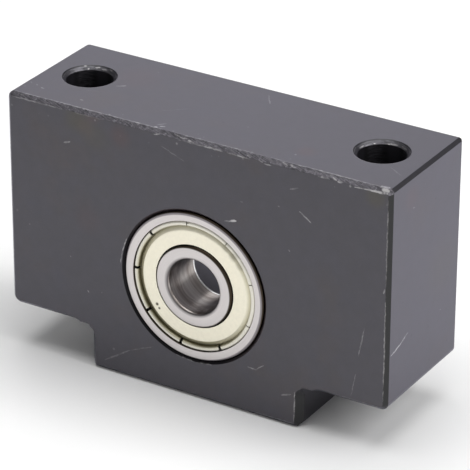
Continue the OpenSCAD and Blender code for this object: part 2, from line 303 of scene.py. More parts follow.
class EndSupportStage(bpy.types.PropertyGroup):
    """Studio round the part."""

    floor: colour("Floor", "Pale floor", "#f6f6f6")
    lens: FloatProperty(
        name="Lens", description="Focal length of the camera", default=250.03, subtype="DISTANCE_CAMERA"
    )
    distance: size("Distance", "Distance from the camera to its target", 433.3)
    azimuth: angle("Azimuth", "Turn of the camera from the front", 31.229)
    elevation: angle("Elevation", "Height angle of the camera", 26.692)
    roll: angle("Roll", "Roll of the camera", 0.24)
    target: FloatVectorProperty(
        name="Target", description="Point that the camera looks at",
        default=(6.54 * MM, BLOCK_LOW.y, 26.62 * MM), subtype="TRANSLATION", unit="LENGTH", precision=5,
    )
    top_power: power("Top light", "Power of the light above", 2.3)
    back_left_power: power("Back left light", "Power of the light behind on the left", 0.62)
    right_power: power("Right light", "Power of the light on the right", 2.0)
    front_left_power: power("Front left light", "Power of the light in front on the left", 0.1)
    room_front: strength("Room in front", "Strength of the room's light behind the camera", 0.45)
    room_back: strength("Room behind", "Strength of the bright sweep behind the part", 0.15)
    glow: strength("Floor glow", "Strength of the lamps under the floor away from the part", 0.12)


# ---- Materials ----


def adder(tree):
    """The function that adds a node to the tree."""

    def add(kind, *values, named=None, **settings):
        """Adds a node and its settings. The values go to its sockets in use, in order, such as a noise's
        place, scale, detail and roughness, and the named ones by name. A node stands for its first output."""
        node = tree.nodes.new("ShaderNode" + kind)
        for key, value in settings.items():
            setattr(node, key, value)
        in_use = [socket for socket in node.inputs if socket.enabled]
        by_name = [(node.inputs[key], value) for key, value in (named or {}).items()]
        for socket, value in [*zip(in_use, values), *by_name]:
            if isinstance(value, bpy.types.Node):
                value = next(output for output in value.outputs if output.enabled)
            if isinstance(value, bpy.types.NodeSocket):
                tree.links.new(value, socket)
            else:
                socket.default_value = value
        return node

    return add


def new_material(name):
    """An empty node material, the function that adds its nodes, the place on the object in millimetres, and
    the normal there."""
    material = bpy.data.materials.new(name)
    material.use_nodes = True
    material.node_tree.nodes.clear()
    add = adder(material.node_tree)
    texture = add("TexCoord").outputs
    place = add("VectorMath", texture["Object"], 1 / MM, operation="SCALE")
    return material, add, place, texture["Normal"]


# The block's faces: a corner in millimetres and the two directions that places on it are measured along
FRONT = BLOCK_LOW.y / MM
TOP = BLOCK_HIGH.z / MM
SLOPE = Vector((0, 1, 1)).normalized()
RIGHT = Vector((1, 0, 0))
FACES = {
    "front": (Vector((0, FRONT, 0)), RIGHT, Vector((0, 0, 1))),
    "top": (Vector((0, FRONT, TOP)), RIGHT, Vector((0, 1, 0))),
    "right": (Vector((BLOCK_HIGH.x / MM, FRONT, 0)), Vector((0, 1, 0)), Vector((0, 0, 1))),
    "slope": (Vector((0, FRONT, TOP - FRONT_CHAMFER)), RIGHT, SLOPE),
}

# Marks on the faces in millimetres: where they start and end, half width, and how bare the steel is
MARKS = {
    "front": [
        (4.8, 28.2, 6.1, 28.6, 0.16, 0.6), (5.7, 28.5, 6.8, 28.8, 0.2, 0.9),
        (16.3, 32.7, 18.2, 31.4, 0.15, 0.5), (14.8, 35.5, 16.2, 36, 0.15, 0.25),
        (26.5, 18.4, 25.6, 13.6, 0.12, 0.3), (25.3, 11, 24.6, 7.4, 0.1, 0.2),
        (8.6, 7.3, 10, 7.1, 0.12, 0.35), (9.8, 7.1, 11.2, 8.2, 0.1, 0.35),
        (-14.6, 1.6, -10.2, 4.4, 0.16, 0.17), (-10.6, 4.2, -6.5, 6, 0.12, 0.12),
        (-20.7, 33.5, -19.6, 33.8, 0.16, 0.4), (29.1, 24, 29.35, 24.8, 0.16, 0.7),
        (-10.7, 21.5, -11.4, 19.4, 0.12, 0.5), (-11.4, 19.6, -11.75, 17.4, 0.09, 0.4),
        (13.8, 4.4, 15.5, 5, 0.14, 0.25), (-5.2, 36.9, -1.3, 35.4, 0.12, 0.14),
        (-15, 12, -14.7, 12.1, 0.16, 0.5), (-17.3, 11.8, -17, 11.5, 0.14, 0.35),
        (7.3, 31.8, 7.8, 31.8, 0.12, 0.25), (13, 32.6, 13.4, 32.6, 0.12, 0.25),
        (14.7, 26.7, 15, 26.4, 0.12, 0.3), (-20, 16.4, -19.8, 16.2, 0.12, 0.25),
        (-26.8, 19.6, -26.6, 19.4, 0.12, 0.25),
        # Lower rim of the bearing's seat
        (-2.9, 5.85, 0.2, 5.5, 0.12, 0.35), (0, 5.5, 3, 5.88, 0.12, 0.3),
        # Rubbed edges of the nose, of the right side and of the lower edges
        (15.95, 0.8, 15.98, 5.6, 0.13, 0.5), (16.1, 0.6, 9, 0.55, 0.1, 0.25),
        (29.46, 8, 29.46, 24, 0.12, 0.35), (29.46, 25, 29.46, 38, 0.12, 0.3), (21, 7, 29, 7, 0.1, 0.2),
        (-28.8, 7, -20, 7, 0.08, 0.15),
        # Lower edge of the ridged chamfer
        (-29.4, 38.42, -20.5, 38.4, 0.12, 0.35), (-19, 38.4, -14, 38.4, 0.1, 0.2),
        (-2.5, 38.4, 4, 38.4, 0.12, 0.3), (5.1, 38.42, 8.8, 38.3, 0.14, 0.5),
        (10, 38.55, 10.8, 38.34, 0.13, 0.45), (10.9, 38.2, 12.1, 38.2, 0.12, 0.35),
        (1.5, 38.45, 4.6, 38.4, 0.16, 0.5), (-6.2, 38.2, -4.9, 38.7, 0.12, 0.8),
        (-5.2, 38.6, -3.9, 38.9, 0.12, 0.8), (19, 38.4, 21, 38.5, 0.12, 0.3),
        (21.9, 38.4, 22.7, 38.45, 0.2, 0.6), (24.4, 38.3, 28.2, 38.45, 0.13, 0.75),
        (26.6, 38.4, 29.5, 38.5, 0.2, 1),
    ],
    "slope": [
        (-1, 0.2, 0.1, 0.1, 0.14, 0.9), (-2.3, 0.35, -1, 0.35, 0.12, 0.5),
        (-3.2, 0.6, -2.2, 0.4, 0.12, 0.45), (21.1, 0.42, 21.9, 0.05, 0.13, 0.8),
        (8.2, 0.3, 9, 0.2, 0.2, 0.6), (14.6, 0.57, 15.65, 0.25, 0.14, 0.55),
        (13.5, 0.65, 14.4, 0.3, 0.14, 0.5), (28.2, 0.5, 29.5, 0.4, 0.4, 1),
    ],
    "top": [
        # Upper edge of the ridged chamfer
        (-29.6, 0.6, -10, 0.6, 0.14, 0.42), (-12, 0.6, -4.8, 0.6, 0.13, 0.38), (-4, 0.6, 12, 0.6, 0.12, 0.3),
        (11, 0.6, 29.5, 0.6, 0.12, 0.35), (-27.4, 0.62, -26.4, 0.6, 0.18, 0.6),
        (-9.6, 0.6, -8.6, 0.6, 0.16, 0.5), (-6.6, 0.75, -6, 0.7, 0.22, 1), (-6, 1.2, -5.2, 1.5, 0.2, 0.55),
        (-6.6, 1.4, -5.6, 2.4, 0.16, 0.35), (6, 0.6, 6.7, 0.6, 0.16, 0.45),
        (18.7, 0.65, 19.4, 0.65, 0.18, 0.7), (21.5, 0.6, 24.6, 0.6, 0.14, 0.4),
        (27.9, 0.6, 29.3, 0.9, 0.32, 0.8),
        # The face
        (1.2, 17.5, 2.9, 15, 0.14, 0.3), (-18.1, 9.1, -16.9, 9.9, 0.2, 0.35),
        (-28.9, 4.2, -28.4, 3.9, 0.16, 0.22), (-27.7, 4, -27.3, 3.6, 0.14, 0.2),
        (-26.6, 3.3, -25.9, 3.2, 0.2, 0.3), (-19.8, 2.8, -19.2, 2.8, 0.2, 0.3),
        (26.2, 6.3, 28.8, 4.7, 0.12, 0.16), (4, 7.2, 4.3, 7.2, 0.18, 0.25),
        (13.7, 3.1, 14.1, 3.1, 0.25, 0.4), (-20.8, 5.7, -18.4, 6.8, 0.1, 0.14), (-9, 5, -5.4, 8.2, 0.1, 0.1),
    ],
    "right": [
        (0.8, 14.6, 3.3, 15.2, 0.17, 0.8), (2.9, 15, 5.5, 16.1, 0.15, 0.75),
        (5.8, 34.3, 6.4, 34.1, 0.12, 0.3), (14.4, 15.4, 14.8, 15.4, 0.12, 0.3),
        (9, 36.4, 9.2, 36.4, 0.12, 0.2),
    ],
}
# Rubs on the conical mouths of the mounting holes: side, turn in degrees, arc in degrees, radius, bareness
MOUTH_RUBS = [
    (1, 118, 42, 3.43, 1), (1, 92, 20, 3.42, 0.5), (1, 172, 16, 3.45, 0.45), (1, 203, 30, 3.75, 0.4),
    (1, 24, 34, 3.75, 0.45), (1, 60, 24, 3.5, 0.25), (-1, 126, 5, 3.4, 0.8), (-1, 105, 12, 3.62, 0.7),
    (-1, 88, 14, 3.55, 0.4), (-1, 70, 12, 3.7, 0.3), (-1, 132, 8, 3.75, 0.35), (-1, 195, 30, 3.7, 0.25),
    (-1, 20, 40, 3.75, 0.3),
]
RUB_W = 0.14  # their half width
# Stains in millimetres: place, radius, strength and tint
STAINS = [
    (("front", -18.6, 37.3), 2.6, 0.5, "stain_olive"), (("front", -17, 36.9), 2.2, 0.35, "stain_brown"),
    (("front", -15.5, 35.6), 3.2, 0.3, "stain_olive"), (("slope", -15.9, 0.2), 1.6, 0.4, "stain_red"),
    (("front", -11.6, 36.6), 2.3, 0.4, "stain_red"), (("front", 27.6, 37.6), 2.2, 0.5, "stain_olive"),
    (("front", -17, 22.8), 3, 0.2, "stain_red"), (("top", 14.6, 4.6), 2, 0.45, "stain_red"),
    (("top", -17, 13), 5, 0.25, "stain_red"), (("right", 5.5, 35.8), 2.5, 0.35, "stain_red"),
    (("right", 15, 22), 6, 0.25, "stain_olive"),
]


def on_face(face, first, second):
    """Place in millimetres of a point measured on one of the block's faces."""
    corner, along, across = FACES[face]
    return corner + first * along + second * across


def mark_lines(look):
    """Ends in millimetres, half width, bareness and raggedness of every mark. A rub at a hole's mouth is its
    arc's chord, and is whole."""
    for face, marks in MARKS.items():
        for x1, y1, x2, y2, width, bareness in marks:
            yield on_face(face, x1, y1), on_face(face, x2, y2), width, bareness, True
    sharp = Vector((0, 0, TOP - (look.bolt_r + look.chamfer) / MM))
    for side, turn, arc, radius, bareness in MOUTH_RUBS:
        centre = sharp + Vector((side * look.bolt_pitch / 2 / MM, 0, radius))
        turns = [math.radians(turn + share * arc) for share in (-0.5, 0.5)]
        first, last = (centre + radius * Vector((math.cos(t), math.sin(t), 0)) for t in turns)
        yield first, last, RUB_W, bareness, False


LOWER_LEFT = Vector((-1, 0, -1)).normalized()  # the direction towards which the painted shade on the bearing and its seat is shifted


def around_axis(add, place):
    """Radius of a place about the bearing's axis in millimetres, how far it lies to the lower left from -1 to
    1, and its depth along the axis."""
    parts = add("SeparateXYZ", add("VectorMath", place, BEARING / MM, operation="SUBTRACT")).outputs
    flat = add("CombineXYZ", parts["X"], 0.0, parts["Z"])
    radius = add("VectorMath", flat, operation="LENGTH")
    way = add("VectorMath", flat, operation="NORMALIZE")
    lean = add("VectorMath", way, LOWER_LEFT, operation="DOT_PRODUCT")
    return radius, lean, parts["Y"]


# Patterns of the blackened steel in millimetres
WARM_CLOUD, COOL_CLOUD = 12, 5
GRAIN = 0.25  # of the blasted and blackened skin, drawn coarser than it is so that it shows
BLOTCH = 1.6
SPECK_GAP, NICK_GAP = 2.6, 1.1
RIDGE_L, RIDGE_W, CRUMB = 1.7, 0.2, 0.4
RIDGE_SLANT = 0.35  # how steeply the ridges of the rough chamfer cross it
CHAMFER_REACH = 0.75  # how far from the block's sharp edge the rough chamfer reaches
SEAT_REACH = 0.47  # how far past the bearing the chamfer of its seat reaches
RAGGED, WANDER, BREAK = 0.6, 0.25, 0.8  # of the marks' edges, how far they wander, and of the gaps in a mark


def blackened_steel(look):
    """Black oxide on milled steel, with oil on it: a thin dark conversion layer that keeps the metal's satin
    sheen, under a coat of oil that brightens faces seen at a low angle. It is cloudy in tint, finely grained,
    darker where the chamfers were cut smooth, ridged on the chamfer that was cut in haste, and down to the
    steel where rubbed. Painted shade lies on the chamfers by the way they face, darkest on the upright ones,
    on the walls of the nose, in the rough chamfer's valleys and on the lower left of the bearing's seat;
    painted light lies on the seat's upper right, the crests of the rough chamfer and the front edges of the
    holes' mouths."""
    material, add, place, normal = new_material("blackened steel")

    # A face's largest share of its normal: 1 on a flat, about 0.7 on a chamfer
    facing = add("SeparateXYZ", add("VectorMath", normal, operation="ABSOLUTE")).outputs
    wide = add("Math", facing["X"], facing["Y"], operation="MAXIMUM")
    widest = add("Math", wide, facing["Z"], operation="MAXIMUM")
    cut = add("MapRange", widest, 0.97, 0.85)

    # Tint: warm clouds, cool ones, then the stains
    tone = look.oxide
    warm, cool = (WARM_CLOUD, 0.55, 0.5, look.oxide_warm), (COOL_CLOUD, 0.5, 0.35, look.oxide_cool)
    for width, low, most, tint in (warm, cool):
        cloud = add("TexNoise", place, 1 / width, 4.0, 0.6)
        share = add("MapRange", cloud, low, 0.75, 0.0, most)
        tone = add("Mix", share, tone, tint, data_type="RGBA")
    for spot, radius, most, name in STAINS:
        away = add("VectorMath", place, on_face(*spot), operation="DISTANCE")
        share = add("MapRange", away, 0.2 * radius, radius, most, 0.0, interpolation_type="SMOOTHSTEP")
        tone = add("Mix", share, tone, getattr(look, name), data_type="RGBA")
    tone = add("Mix", cut, tone, look.cut_oxide, data_type="RGBA")

    # Painted shade on the chamfers by the way they face: darkest on the upright edges, lighter along the
    # sides of the top
    for first, second, tint in (("X", "Y", look.upright_painted_shade), ("X", "Z", look.top_side_painted_shade)):
        both = add("Math", facing[first], facing[second], operation="MULTIPLY")
        tone = add("Mix", add("MapRange", both, 0.2, 0.4), tone, tint, data_type="RGBA")

    # The passage behind the bearing, and the chamfer of the bearing's seat, with painted light on the seat's
    # upper right and painted shade, near black, at its lower left
    seat_r, lean, depth = around_axis(add, place)
    inside = add("Math", seat_r, RING_R / MM + SEAT_REACH, operation="LESS_THAN")
    outer = add("Math", depth, 1 - RING_W / 2 / MM, operation="LESS_THAN")
    at_seat = add("Math", inside, outer, operation="MULTIPLY")
    seat_cut = add("Math", at_seat, cut, operation="MULTIPLY")
    short = add("Math", depth, (BLOCK_HIGH.y - BEARING.y) / MM - 0.1, operation="LESS_THAN")
    walls = add("Math", inside, short, operation="MULTIPLY")
    hidden = add("Math", walls, at_seat, operation="SUBTRACT")
    tone = add("Mix", hidden, tone, look.passage, data_type="RGBA")
    side = add("MapRange", lean, -0.6, 0.4)
    seat_light_and_shade = add("Mix", side, look.seat_painted_light, look.seat_painted_shade, data_type="RGBA")
    tone = add("Mix", seat_cut, tone, seat_light_and_shade, data_type="RGBA")

    # Painted shade on the walls of the nose, under the shoulders: faces along the axis, below the shoulders
    spot = add("SeparateXYZ", place).outputs
    shoulder = look.shoulder_z / MM
    low = add("MapRange", spot["Z"], shoulder, shoulder - 0.4, 0.0, 0.9)
    wall = add("Math", facing["X"], 0.9, operation="GREATER_THAN")
    nose_shade_share = add("Math", low, wall, operation="MULTIPLY")
    tone = add("Mix", nose_shade_share, tone, look.nose_painted_shade, data_type="RGBA")

    # The front chamfer of the mounting face: slanted ridges, with a painted highlight on their crests and on
    # torn crumbs among them, and painted shade in the valleys between
    edge = add("VectorMath", place, (0.0, FRONT, TOP), operation="SUBTRACT")
    across = add("VectorMath", edge, (0.0, 1.0, 1.0), operation="MULTIPLY")
    near = add("VectorMath", across, operation="LENGTH")
    on_edge = add("Math", near, CHAMFER_REACH, operation="LESS_THAN")
    rough_cut = add("Math", on_edge, cut, operation="MULTIPLY")
    aim = (RIGHT - RIDGE_SLANT * SLOPE).normalized()
    beside_aim = (RIDGE_SLANT * RIGHT + SLOPE).normalized()
    along = add("VectorMath", place, aim / RIDGE_L, operation="DOT_PRODUCT")
    beside = add("VectorMath", place, beside_aim / RIDGE_W, operation="DOT_PRODUCT")
    ridge = add(
        "TexNoise", add("CombineXYZ", along, beside),
        1.0, 3.0, 0.6, named={"Distortion": 0.4},
    )
    ridged = add("MapRange", ridge, 0.33, 0.66, 0.0, 0.8)
    torn = add("TexNoise", place, 1 / CRUMB, 3.0, 0.7)
    crumbs = add("MapRange", torn, 0.52, 0.68, 0.0, 0.9)
    raised = add("Math", ridged, crumbs, operation="ADD")
    ridge_light_and_shade = add("Mix", raised, look.valley_shade, look.ridge_highlight, data_type="RGBA")
    tone = add("Mix", rough_cut, tone, ridge_light_and_shade, data_type="RGBA")

    # The conical mouths of the mounting holes: darker, with rings left by the countersink
    hole = add("Math", spot["X"], operation="ABSOLUTE")
    hole_x = add("Math", hole, look.bolt_pitch / 2 / MM, operation="SUBTRACT")
    hole_r = add("VectorMath", add("CombineXYZ", hole_x, spot["Y"]), operation="LENGTH")
    mouth_r = (look.bolt_r + look.chamfer) / MM
    mouth_cut = add("Math", add("MapRange", hole_r, mouth_r + 0.07, mouth_r), cut, operation="MULTIPLY")
    rings = add("VectorMath", place, (0.9, 0.9, 7.0), operation="MULTIPLY")
    cutter_marks = add("TexNoise", rings, 1.0, 3.0, 0.7)
    ringed = add("MapRange", cutter_marks, 0.35, 0.7)
    inner = add("Math", hole_r, mouth_r - 0.13, operation="LESS_THAN")
    inner_ringed = add("Math", ringed, inner, operation="MULTIPLY")
    mouth_tone = add("Mix", inner_ringed, look.cut_oxide, look.mouth, data_type="RGBA")
    tone = add("Mix", mouth_cut, tone, mouth_tone, data_type="RGBA")

    # Grain of the skin, and the uneven take of the oxide
    grain = add("TexNoise", place, 1 / GRAIN, 2.0, 0.7)
    shade = add("MapRange", grain, 0.3, 0.7, 0.93, 1.07)
    blotch = add("TexNoise", place, 1 / BLOTCH, 3.0, 0.65)
    uneven = add("MapRange", blotch, 0.3, 0.7, 0.94, 1.06)
    shade = add("Math", shade, uneven, operation="MULTIPLY")
    tone = add("VectorMath", tone, shade, operation="SCALE")

    # Specks: the parts of scattered balls that the surface cuts, more of them dark than bare
    dots = add("TexVoronoi", place, 1 / SPECK_GAP)
    dot = add("MapRange", dots, 0.1, 0.03)
    kind = add("SeparateColor", dots.outputs["Color"]).outputs
    for channel, least, most, tint in (("Red", 0.93, 0.15, look.bare_and_highlight), ("Green", 0.4, 0.6, look.cut_oxide)):
        chosen = add("Math", kind[channel], least, operation="GREATER_THAN")
        share = add("Math", chosen, most, operation="MULTIPLY")
        amount = add("Math", share, dot, operation="MULTIPLY")
        tone = add("Mix", amount, tone, tint, data_type="RGBA")

    # Nicks on the mounting face and the front, within 2.5 mm of the ridged chamfer
    nicks = add("TexVoronoi", place, 1 / NICK_GAP)
    nick = add("MapRange", nicks, 0.2, 0.08)
    close = add("MapRange", near, 2.5, 0.6, 0.0, 0.45)
    chance = add("SeparateColor", nicks.outputs["Color"]).outputs["Red"]
    picked = add("Math", chance, 0.5, operation="GREATER_THAN")
    nicked = add("Math", nick, picked, operation="MULTIPLY")
    amount = add("Math", nicked, close, operation="MULTIPLY")
    tone = add("Mix", amount, tone, look.bare_and_highlight, data_type="RGBA")

    # Marks: bare inside long thin ellipsoids, where the distances to a mark's two foci add up to less than
    # its length, so a mark tapers at both ends; noise makes them ragged and broken
    ragged = add("TexNoise", place, 1 / RAGGED, 2.0)
    wander = add("VectorMath", ragged.outputs["Color"], (0.5, 0.5, 0.5), operation="SUBTRACT")
    wavy = add("VectorMath", wander, (WANDER, WANDER, WANDER), place, operation="MULTIPLY_ADD")
    worn = {True: 0.0, False: 0.0}
    for first, last, width, bareness, is_ragged in mark_lines(look):
        middle, half = (first + last) / 2, max((last - first).length / 2, width)
        focus = math.sqrt(half**2 - width**2) * (last - first).normalized()
        one_end = add("VectorMath", wavy, middle - focus, operation="DISTANCE")
        other_end = add("VectorMath", wavy, middle + focus, operation="DISTANCE")
        reach = add("Math", one_end, other_end, operation="ADD")
        mark = add("MapRange", reach, 2 * half, 2 * focus.length, 0.0, 1.25 * bareness)
        worn[is_ragged] = add("Math", mark, worn[is_ragged], operation="MAXIMUM")
    gaps = add("TexNoise", place, 1 / BREAK, 2.0, 0.7)
    broken = add("MapRange", gaps, 0.35, 0.6, 0.3, 1.15)
    rubbed = add("Math", worn[True], broken, operation="MULTIPLY", use_clamp=True)
    # A painted highlight: a thin bright line on the front edge of each hole's mouth
    off_edge = add("Math", hole_r, mouth_r, 0.09, operation="COMPARE")
    in_front = add("MapRange", spot["Y"], -1.0, -3.0, 0.0, 0.22)
    front_highlight = add("Math", off_edge, in_front, operation="MULTIPLY")
    above = add("Math", spot["Z"], TOP - 1, operation="GREATER_THAN")
    mouth_highlight = add("Math", front_highlight, above, operation="MULTIPLY")
    rubs_and_highlight = add("Math", mouth_highlight, worn[False], operation="MAXIMUM")
    bare_and_highlit_share = add("Math", rubbed, rubs_and_highlight, operation="MAXIMUM")
    tone = add("Mix", bare_and_highlit_share, tone, look.bare_and_highlight, data_type="RGBA")

    # Where the seat is painted in shade, most of the bright coat is turned off too
    seat_shade_share = add("Math", seat_cut, side, operation="MULTIPLY")
    bright = add("Math", seat_shade_share, -0.8, 1.0, operation="MULTIPLY_ADD")
    rough = add("MapRange", grain, 0.2, 0.8, 0.46, 0.56)
    deep = add("Math", rough_cut, ridge, operation="MULTIPLY")
    height = add("Math", deep, 6.0, grain, operation="MULTIPLY_ADD")
    bump = add("Bump", named={"Strength": 0.2, "Distance": 0.01 * MM, "Height": height})
    inputs = {
        "Base Color": tone, "Metallic": 1.0, "Roughness": rough, "Normal": bump,
        "Specular Tint": linear("#e6e2ff"), "Coat Weight": bright, "Coat IOR": 1.5, "Coat Roughness": 0.4,
    }
    add("OutputMaterial", add("BsdfPrincipled", named=inputs))
    return material


def banded(add, radius, bands):
    """Colour by radius: the bands are radii in millimetres, from the axis outwards, each with its colour."""
    tone = bands[0][1]
    for (start, _), (end, outer) in zip(bands, bands[1:]):
        tone = add("Mix", add("MapRange", radius, start, end), tone, outer, data_type="RGBA")
    return tone


def ground_steel(name, bands, roughness, shift=0.0, tinge=None):
    """Through-hardened bearing steel, ground: bright, faintly streaked round the axis by the wheel, with
    painted shade in the gaps by its walls. The bands are radii in millimetres, each with its colour, and lie
    off the axis to the lower left by the shift. A streak colour, if given, paints reflection streaks on the
    innermost band, the wall of the bore, whose rear mouth gets a painted white highlight."""
    material, add, place, _ = new_material(name)
    radius, lean, depth = around_axis(add, place)
    polar = add("CombineXYZ", radius, depth, lean)
    off_centre = add("Math", lean, -shift, radius, operation="MULTIPLY_ADD")
    if tinge:
        # Painted reflection streaks 1 mm apart along the bore and drawn out round the axis
        lanes = add("VectorMath", polar, (0.0, 1.0, 1.6), operation="MULTIPLY")
        lane = add("TexNoise", lanes, 1.0, 4.0, 0.6, named={"Distortion": 0.6})
        wall = add("Mix", add("MapRange", lane, 0.4, 0.65), bands[0][1], tinge, data_type="RGBA")
        bands = [(bands[0][0], wall), *bands[1:]]
    tone = banded(add, off_centre, bands)
    if tinge:
        # Painted highlight: the rear mouth of the bore painted white
        rear = add("Math", depth, RING_W / 2 / MM - 0.7, operation="GREATER_THAN")
        tone = add("Mix", rear, tone, linear("#ffffff"), data_type="RGBA")
    # Wheel marks 0.1 mm apart across the face and drawn out round the axis
    marks = add("VectorMath", polar, (10.0, 10.0, 1.5), operation="MULTIPLY")
    streak = add("TexNoise", marks, 1.0, 2.0)
    tint = add("VectorMath", tone, add("MapRange", streak, 0.3, 0.7, 0.94, 1.0), operation="SCALE")
    bump = add("Bump", named={"Strength": 0.1, "Distance": 0.004 * MM, "Height": streak})
    inputs = {"Base Color": tint, "Metallic": 1.0, "Roughness": roughness, "Normal": bump}
    add("OutputMaterial", add("BsdfPrincipled", named=inputs))
    return material


# Dirt on the front shield, and painted shade in its channel at the upper right (the last three), in
# millimetres: X and Z from the bearing's centre, radius, and strength
DIRT_AND_SHADE_SPOTS = [
    (-6.0, -4.35, 0.3, 0.95), (-5.65, -4.9, 0.24, 0.9), (-5.9, -1.75, 0.12, 0.7), (-6.1, 1.2, 0.1, 0.6),
    (-0.9, 9.35, 0.14, 0.8), (-6.9, -5.2, 0.16, 0.7), (7.2, 5.0, 0.9, 0.2), (6.2, 6.2, 1.0, 0.3),
    (5.0, 7.2, 0.9, 0.2),
]
MOTTLE = 0.6  # of the zinc, in millimetres


def zinc_sheet(look, seat):
    """Zinc plated pressed sheet: pale with a yellow-green cast and soft sheen, with painted shade in its
    channel that is deeper and wider towards the lower left."""
    material, add, place, _ = new_material("zinc plated sheet")
    radius, lean, depth = around_axis(add, place)
    rim = (seat.seat_r - look.fit - look.sheet - look.rim_w) / MM
    wall = rim - look.wall_run / MM
    slope = wall - (look.channel_w + look.disc_run) / MM
    floor = wall - look.channel_w / MM / 2
    # Painted shade in the channel: lighter on the upper right, deeper and wider on the lower left
    upper_right_bands = banded(
        add, radius,
        [(slope + 0.1, look.plating), (floor, look.plating_shade), (wall + 0.06, look.wall_foot_shade),
         (rim + 0.15, look.rim)],
    )
    lower_left_bands = banded(
        add, radius,
        [(slope + 0.08, look.plating), (slope + 0.2, look.slope_shade), (slope + 0.34, look.plating_shade),
         (floor - 0.08, look.channel_floor_shade), (wall - 0.02, look.channel_shade), (rim - 0.05, look.channel_shade),
         (rim + 0.08, look.channel_floor_shade), (rim + 0.35, look.rim)],
    )
    tone = add("Mix", add("MapRange", lean, -0.5, 0.4), upper_right_bands, lower_left_bands, data_type="RGBA")
    mottle = add("TexNoise", place, 1 / MOTTLE, 4.0, 0.65)
    tone = add("VectorMath", tone, add("MapRange", mottle, 0.3, 0.7, 0.93, 1.0), operation="SCALE")
    front = add("Math", depth, 0.0, operation="LESS_THAN")
    flat = add("VectorMath", place, (1.0, 0.0, 1.0), operation="MULTIPLY")
    for x, z, r, strength in DIRT_AND_SHADE_SPOTS:
        centre = (BEARING.x / MM + x, 0.0, BEARING.z / MM + z)
        away = add("VectorMath", flat, centre, operation="DISTANCE")
        spot = add("MapRange", away, r, 0.4 * r, 0.0, strength)
        amount = add("Math", spot, front, operation="MULTIPLY")
        tone = add("Mix", amount, tone, look.dirt_and_shade, data_type="RGBA")
    rough = add("MapRange", mottle, 0.3, 0.7, 0.36, 0.44)
    bump = add("Bump", named={"Strength": 0.1, "Distance": 0.01 * MM, "Height": mottle})
    inputs = {"Base Color": tone, "Metallic": 1.0, "Roughness": rough, "Normal": bump}
    add("OutputMaterial", add("BsdfPrincipled", named=inputs))
    return material


def plain_floor(look):
    """White matt acrylic over lamps: its glow grows over 30 mm from the part's footprint."""
    material, add, place, _ = new_material("white acrylic board")
    apart = add("VectorMath", place, operation="ABSOLUTE")
    footprint = (BLOCK_HIGH.x / MM, BLOCK_HIGH.y / MM, 0.0)
    past = add("VectorMath", apart, footprint, operation="SUBTRACT")
    outside = add("VectorMath", past, (0.0, 0.0, 0.0), operation="MAXIMUM")
    away = add("VectorMath", outside, operation="LENGTH")
    glow = add("MapRange", away, 0.0, 30.0, 0.0, look.glow, interpolation_type="SMOOTHSTEP")
    tooth = add("TexNoise", place, 0.5, 2.0)
    bump = add("Bump", named={"Strength": 0.02, "Distance": 0.01 * MM, "Height": tooth})
    inputs = {
        "Base Color": look.floor, "Roughness": 0.9, "Normal": bump, "Emission Color": look.floor,
        "Emission Strength": glow,
    }
    add("OutputMaterial", add("BsdfPrincipled", named=inputs))
    return material


# ---- Pieces ----


def finish_edges(piece, width=0.0):
    """Rounds a piece's sharp edges by a bevel of the width, and shades its flats flat."""
    if width:
        bevel = piece.modifiers.new("deburred edges", "BEVEL")
        bevel.width = width
        bevel.segments = 3
        bevel.limit_method = "ANGLE"
        bevel.angle_limit = math.radians(30)
        bevel.use_clamp_overlap = True
    weighted = piece.modifiers.new("flat shading", "WEIGHTED_NORMAL")
    weighted.keep_sharp = True


def finish_turned(piece):
    """Keeps a turned piece's true corners sharp and its flats flat."""
    piece.data.set_sharp_from_angle(angle=math.radians(35))
    finish_edges(piece)


def race_arc(land_r, bottom_r):
    """Arc of a raceway's section from the rear land to the front one: a circle a little larger than the ball,
    centred on the ball's side of the bottom, cut off at the land. Its corners aren't rounded."""
    race_r = 2 * BALL_R * RACE_SHARE
    side = 1 if bottom_r > land_r else -1
    centre = bottom_r - side * race_r
    reach = math.acos((land_r - centre) / race_r * side)
    turn = np.linspace(reach, -reach, RACE_STEPS)
    arc = np.stack([centre + side * race_r * np.cos(turn), RING_W / 2 + race_r * np.sin(turn)], axis=-1)
    return [(r, d, 0) for r, d in arc]


def corner_cutter(look, outward_x, outward_z):
    """Solid that lies outside one rounded corner of the outline: at each depth an arc about a fixed centre,
    whose radius is the corner's less the chamfer's inset there, closed by three points beyond the corner."""
    over, beyond, slack = 0.05 * MM, 0.5 * MM, 0.004 * MM
    x = BLOCK_HIGH.x if outward_x > 0 else BLOCK_LOW.x
    z = BLOCK_HIGH.z if outward_z > 0 else look.shoulder_z
    centre = np.array([x - outward_x * look.corner_round, z - outward_z * look.corner_round])
    low, high = BLOCK_LOW.y, BLOCK_HIGH.y
    depths = np.array([low - over, low + look.chamfer, high - look.rear_chamfer, high + over])
    radii = look.corner_round - np.array([look.chamfer + over, 0, 0, look.rear_chamfer + over]) + slack
    turn = np.linspace(0, math.pi / 2, CORNER_STEPS)
    arc = radii[:, None, None] * np.stack([np.cos(turn), np.sin(turn)], axis=-1)
    far = (radii + beyond)[:, None, None] * np.array([(0, 1), (1, 1), (1, 0)])
    flat = np.concatenate([arc, far], axis=1) * (outward_x, outward_z) + centre
    points = np.stack(
        [flat[..., 0], np.broadcast_to(depths[:, None], flat.shape[:2]), flat[..., 1]], axis=-1
    ).reshape(-1, 3)
    rows, columns = flat.shape[:2]
    caps = [list(range(columns)), list(range((rows - 1) * columns, rows * columns))]
    return points, [*grid_quads(rows, columns, wrap_columns=True).tolist(), *caps]


